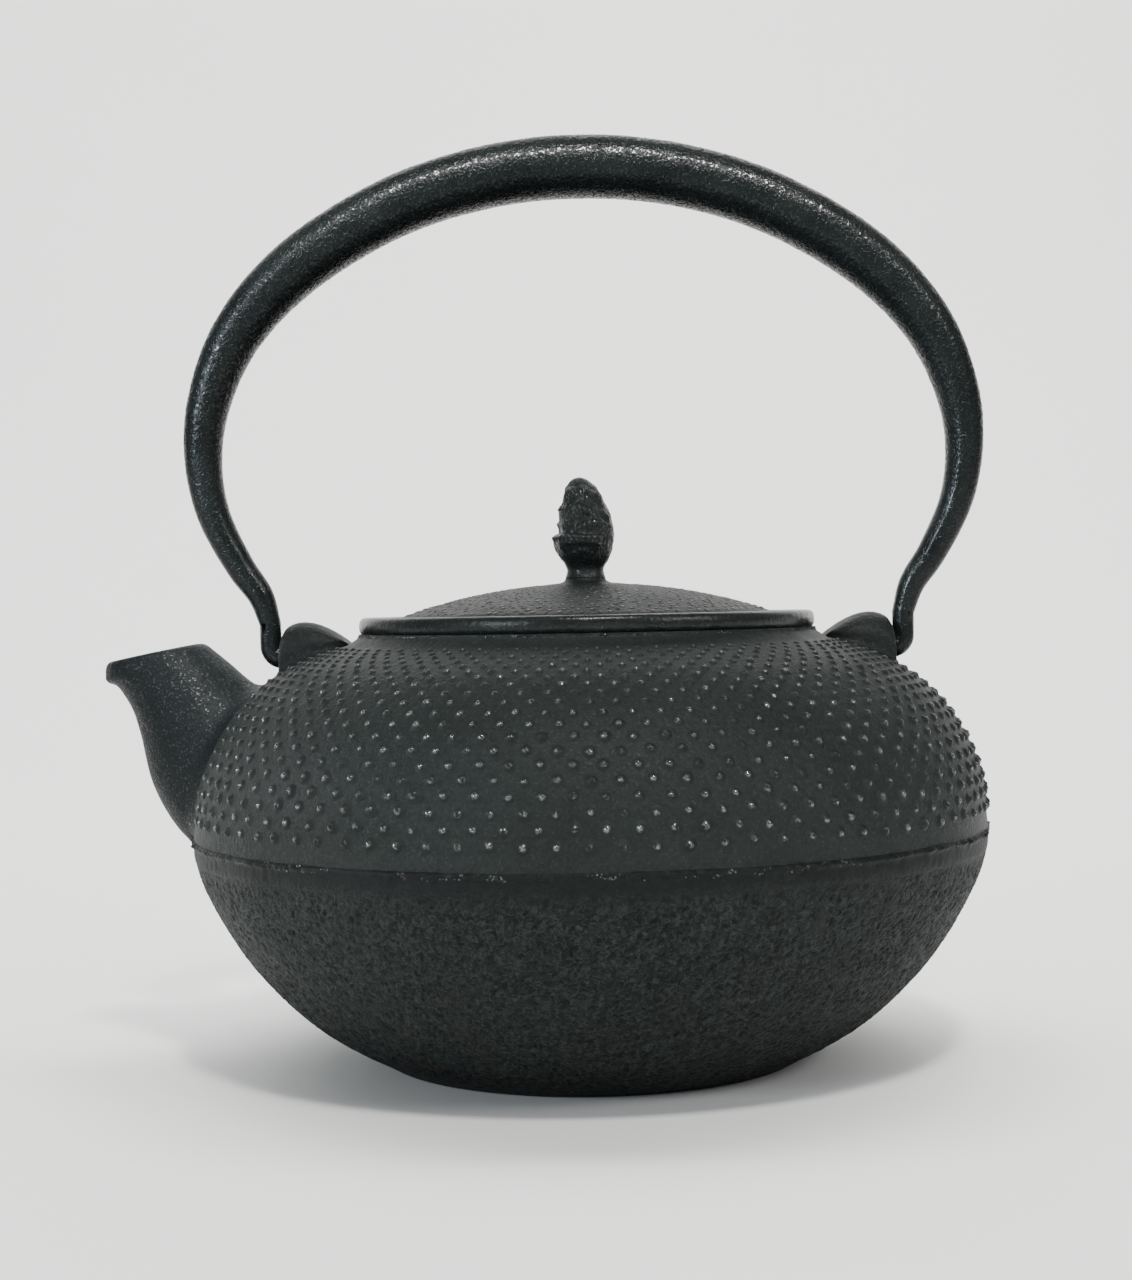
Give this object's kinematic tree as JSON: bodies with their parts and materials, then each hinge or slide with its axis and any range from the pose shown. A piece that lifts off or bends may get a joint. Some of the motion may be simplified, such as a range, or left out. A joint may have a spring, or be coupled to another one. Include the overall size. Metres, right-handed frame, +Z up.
{
  "type": "teapot with infuser basket",
  "caption": "Round cast-iron teapot with a nubbed shoulder, short spout, folding bow handle, knobbed lid and a steel mesh infuser basket in its mouth.",
  "frame": {"origin": "centre of the flat base, on the plane the pot stands on", "axes": "+Z up through the lid's knob, -X towards the spout, the handle folds about a line parallel to X, +Y away from the side seen with the spout on the left"},
  "size_m": [0.1908, 0.17, 0.1979],
  "materials": {
    "cast_iron_body": "matt black-grey wax-finished casting, nubs slightly polished",
    "cast_iron_lid": "matt charcoal casting with a smoother rim",
    "lacquered_handle": "glossy black lacquer over fine cast grain",
    "enamel": "glossy black fired enamel",
    "stainless_sheet": "satin pressed stainless steel",
    "stainless_mesh": "woven stainless wire mesh"
  },
  "bodies": {
    "pot": {"pot_lower": "cast_iron_body", "pot_shoulder": "cast_iron_body", "pot_neck": "cast_iron_body", "pot_spout": "cast_iron_body", "far_ear": "cast_iron_body", "spout_side_ear": "cast_iron_body", "enamel_lining": "enamel"},
    "handle_bow": {"handle": "lacquered_handle"},
    "basket": {"infuser_rim": "stainless_sheet", "infuser_wall": "stainless_mesh", "infuser_lap_seam": "stainless_sheet", "infuser_base_ring": "stainless_sheet", "infuser_base_mesh": "stainless_mesh"},
    "lid_set": {"lid": "cast_iron_lid", "lid_knob": "cast_iron_lid", "knob_washer": "stainless_sheet", "knob_screw": "stainless_sheet"}
  },
  "joints": [
    {"name": "handle_fold", "type": "hinge", "parent": "pot", "child": "handle_bow", "pos_m": [0, 0, 0.0865], "axis": [1, 0, 0], "range_deg": [-102, 102]},
    {"name": "basket_lift", "type": "slide", "parent": "pot", "child": "basket", "axis": [0, 0, 1], "range_m": [0, 0.054]},
    {"name": "lid_lift", "type": "slide", "parent": "basket", "child": "lid_set", "axis": [0, 0, 1], "range_m": [0, 0.055]}
  ]
}
